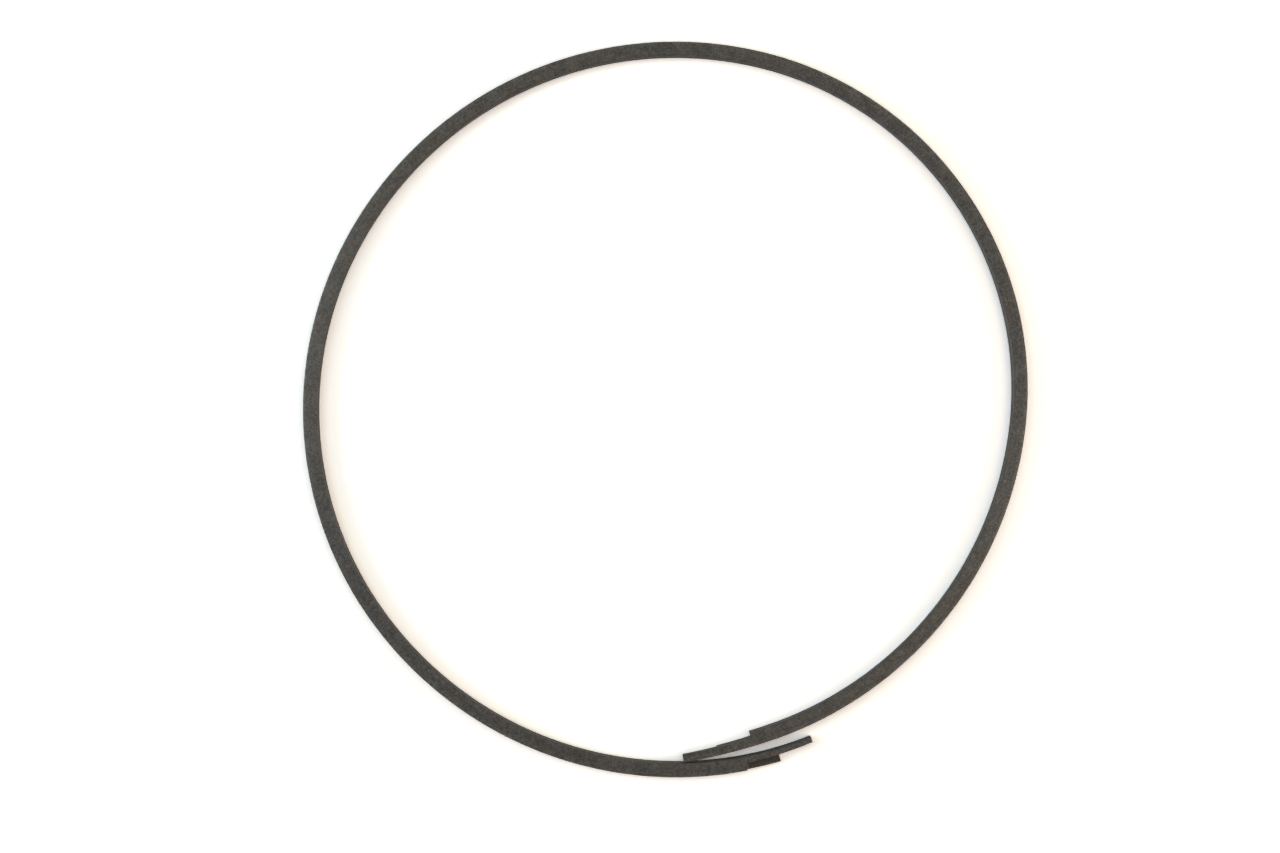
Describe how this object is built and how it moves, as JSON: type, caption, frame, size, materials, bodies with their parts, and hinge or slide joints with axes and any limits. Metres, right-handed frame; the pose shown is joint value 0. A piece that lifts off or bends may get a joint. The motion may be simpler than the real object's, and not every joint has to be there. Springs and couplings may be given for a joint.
{
  "type": "seal ring",
  "caption": "Split sealing ring of filled PTFE with a rectangular section and a stepped lap joint, lying relaxed with its ends sprung past each other.",
  "frame": {"origin": "middle of the relaxed ring's outline, on its lower side face", "axes": "+Z along the ring's axis, from the lower side face to the upper one; the lap joint lies towards -Y, with the free tip of the inner tongue towards +X"},
  "size_m": [0.1068, 0.1086, 0.0023],
  "materials": {
    "filled_ptfe": "matte, as turned"
  },
  "bodies": {
    "root": {"seal_ring": "filled_ptfe"}
  },
  "joints": []
}
